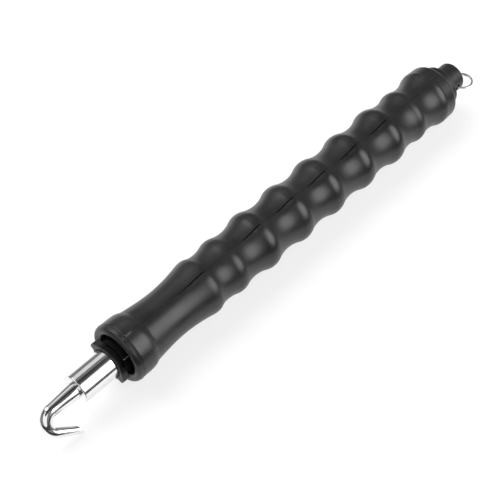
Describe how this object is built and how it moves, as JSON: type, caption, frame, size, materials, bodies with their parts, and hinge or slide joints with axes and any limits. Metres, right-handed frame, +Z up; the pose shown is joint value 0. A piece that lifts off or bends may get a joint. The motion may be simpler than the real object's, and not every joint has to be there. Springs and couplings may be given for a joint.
{
  "type": "rebar tie wire twister",
  "caption": "Pull-type rebar tie wire twister: ribbed grip, winged front bush, plated sleeve and pointed hook on a twisted rod, rear cap with hanging ring.",
  "frame": {"origin": "on the surface the tool lies on, under the spindle axis, half way along the tool", "axes": "+X along the spindle axis from the hook to the hanging ring, +Z up"},
  "size_m": [0.3044, 0.0314, 0.0314],
  "materials": {
    "grip_plastic": "satin black moulding",
    "bush_plastic": "satin dark grey",
    "cap_plastic": "satin black moulding",
    "felt": "oiled felt",
    "rubber": "matt",
    "steel": "zinc plated",
    "rod_steel": "drawn bright, oiled",
    "bright_plate": "polished nickel plate",
    "ring_plate": "nickel plate"
  },
  "bodies": {
    "handle": {"grip": "grip_plastic", "front_bush": "bush_plastic", "lock_pin": "steel", "felt_wiper": "felt", "drive_nut": "steel", "nut_key": "steel", "nut_circlip": "steel", "spring_seat": "steel", "return_spring": "steel", "rear_cap": "cap_plastic", "bumper": "rubber"},
    "carriage": {"tail_cup": "steel", "thrust_washer": "steel"},
    "spindle": {"twisted_rod": "rod_steel", "sleeve": "bright_plate", "sleeve_pin": "steel", "hook": "bright_plate", "tail_nut": "steel", "tail_pin": "steel"},
    "ring": {"split_ring": "ring_plate"}
  },
  "joints": [
    {"name": "carriage_pull", "type": "slide", "parent": "handle", "child": "carriage", "axis": [-1, 0, 0], "range_m": [0, 0.105], "stiffness_N_per_m": 150, "springref_m": -0.03, "deforming": ["return_spring"]},
    {"name": "spindle_turn", "type": "hinge", "parent": "carriage", "child": "spindle", "pos_m": [0, 0, 0.0157], "axis": [-1, 0, 0], "range_deg": [0, 1080]},
    {"name": "ring_swing", "type": "hinge", "parent": "handle", "child": "ring", "pos_m": [0.1408, -0.0064, 0.0157], "axis": [0, 1, 0], "range_deg": [-32, 32]}
  ],
  "couplings": [
    {"joint": "spindle_turn", "follows": "carriage_pull", "rad_per_m": 179.52}
  ]
}
